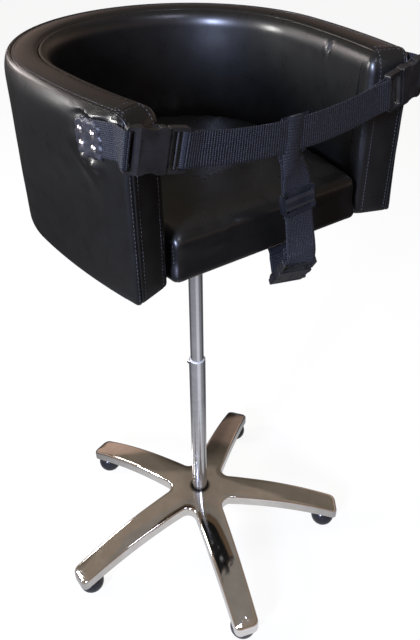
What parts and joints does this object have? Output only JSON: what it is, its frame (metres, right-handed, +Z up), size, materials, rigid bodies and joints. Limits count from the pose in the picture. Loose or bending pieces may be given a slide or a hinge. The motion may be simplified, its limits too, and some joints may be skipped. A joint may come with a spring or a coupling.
{
  "type": "child's tub chair with safety harness on a five-arm star base",
  "caption": "Child's salon tub chair with a lap belt and crotch strap, on a slim telescoping column and a star base with ball glides.",
  "frame": {"origin": "on the floor, at the axis of the column", "axes": "+Z up along the column, -Y the way the chair faces, +X to the sitter's left"},
  "size_m": [0.5086, 0.5308, 0.9477],
  "materials": {
    "leatherette": "satin",
    "patch": "satin",
    "webbing": "matt",
    "buckle_plastic": "satin",
    "glide_plastic": "gloss",
    "chrome_tube": "polished",
    "cast_aluminium": "polished",
    "steel": "zinc plated",
    "black_steel": "satin",
    "rivet_chrome": "polished",
    "plywood": "raw",
    "nylon": "natural",
    "lining": "matt"
  },
  "bodies": {
    "base": {"star_base": "cast_aluminium", "base_tube": "chrome_tube", "tube_bush": "nylon", "tube_plug": "steel", "base_washer": "steel", "base_bolt": "steel", "lock_screw": "steel"},
    "glide_1": {"glide_foot_1": "glide_plastic", "glide_stem_1": "steel"},
    "glide_2": {"glide_foot_2": "glide_plastic", "glide_stem_2": "steel"},
    "glide_3": {"glide_foot_3": "glide_plastic", "glide_stem_3": "steel"},
    "glide_4": {"glide_foot_4": "glide_plastic", "glide_stem_4": "steel"},
    "glide_5": {"glide_foot_5": "glide_plastic", "glide_stem_5": "steel"},
    "post": {"post_tube": "chrome_tube", "post_bush": "nylon", "post_spigot": "steel", "thrust_washer": "nylon", "pivot_washer": "steel", "pivot_bolt": "steel"},
    "seat": {"seat_plate": "black_steel", "plate_screws": "steel", "seat_board": "plywood", "seat_cushion": "leatherette", "under_cover": "lining", "tub_shell": "plywood", "shell_screws": "steel", "inner_pad": "leatherette", "outer_cover": "leatherette", "top_band": "leatherette", "rim_welt": "leatherette", "left_arm_end": "leatherette", "right_arm_end": "leatherette", "left_patch": "patch", "right_patch": "patch", "left_rivets": "rivet_chrome", "right_rivets": "rivet_chrome", "left_anchor_web": "webbing", "right_anchor_web": "webbing", "left_buckle_socket": "buckle_plastic", "right_buckle_socket": "buckle_plastic", "left_buckle_tongue": "buckle_plastic", "right_buckle_tongue": "buckle_plastic", "lap_belt": "webbing", "crotch_strap": "webbing", "strap_slider": "buckle_plastic", "crotch_buckle_socket": "buckle_plastic", "crotch_buckle_tongue": "buckle_plastic", "rear_strap": "webbing", "anchor_plate": "steel", "anchor_screws": "steel"},
    "left_latch_upper": {"left_latch_upper": "buckle_plastic"},
    "left_latch_lower": {"left_latch_lower": "buckle_plastic"},
    "right_latch_upper": {"right_latch_upper": "buckle_plastic"},
    "right_latch_lower": {"right_latch_lower": "buckle_plastic"},
    "crotch_latch_left": {"crotch_latch_left": "buckle_plastic"},
    "crotch_latch_right": {"crotch_latch_right": "buckle_plastic"}
  },
  "joints": [
    {"name": "glide_1_turn", "type": "hinge", "parent": "base", "child": "glide_1", "pos_m": [0.19966, 0.15045, 0.03], "axis": [0, 0, 1], "continuous": true},
    {"name": "glide_2_turn", "type": "hinge", "parent": "base", "child": "glide_2", "pos_m": [-0.08139, 0.23638, 0.03], "axis": [0, 0, 1], "continuous": true},
    {"name": "glide_3_turn", "type": "hinge", "parent": "base", "child": "glide_3", "pos_m": [-0.24996, -0.00436, 0.03], "axis": [0, 0, 1], "continuous": true},
    {"name": "glide_4_turn", "type": "hinge", "parent": "base", "child": "glide_4", "pos_m": [-0.07309, -0.23908, 0.03], "axis": [0, 0, 1], "continuous": true},
    {"name": "glide_5_turn", "type": "hinge", "parent": "base", "child": "glide_5", "pos_m": [0.20479, -0.14339, 0.03], "axis": [0, 0, 1], "continuous": true},
    {"name": "height", "type": "slide", "parent": "base", "child": "post", "axis": [0, 0, 1], "range_m": [-0.14, 0.08]},
    {"name": "swivel", "type": "hinge", "parent": "post", "child": "seat", "pos_m": [0, 0, 0.71], "axis": [0, 0, 1], "continuous": true},
    {"name": "left_latch_upper_press", "type": "hinge", "parent": "seat", "child": "left_latch_upper", "pos_m": [-0.15987, -0.2004, 0.92782], "axis": [-0.0848, -0.9964, 0], "range_deg": [0, 7], "stiffness_Nm_per_rad": 2},
    {"name": "left_latch_lower_press", "type": "hinge", "parent": "seat", "child": "left_latch_lower", "pos_m": [-0.16523, -0.19994, 0.90075], "axis": [0.0848, 0.9964, 0], "range_deg": [0, 7], "stiffness_Nm_per_rad": 2},
    {"name": "right_latch_upper_press", "type": "hinge", "parent": "seat", "child": "right_latch_upper", "pos_m": [0.15987, -0.2004, 0.92782], "axis": [-0.0848, 0.9964, 0], "range_deg": [0, 7], "stiffness_Nm_per_rad": 2},
    {"name": "right_latch_lower_press", "type": "hinge", "parent": "seat", "child": "right_latch_lower", "pos_m": [0.16523, -0.19994, 0.90075], "axis": [0.0848, -0.9964, 0], "range_deg": [0, 7], "stiffness_Nm_per_rad": 2},
    {"name": "crotch_latch_left_press", "type": "hinge", "parent": "seat", "child": "crotch_latch_left", "pos_m": [0.0091, -0.19109, 0.71103], "axis": [-0.2468, -0.7595, -0.6018], "range_deg": [0, 7], "stiffness_Nm_per_rad": 2},
    {"name": "crotch_latch_right_press", "type": "hinge", "parent": "seat", "child": "crotch_latch_right", "pos_m": [0.03534, -0.19962, 0.71103], "axis": [0.2468, 0.7595, 0.6018], "range_deg": [0, 7], "stiffness_Nm_per_rad": 2}
  ]
}
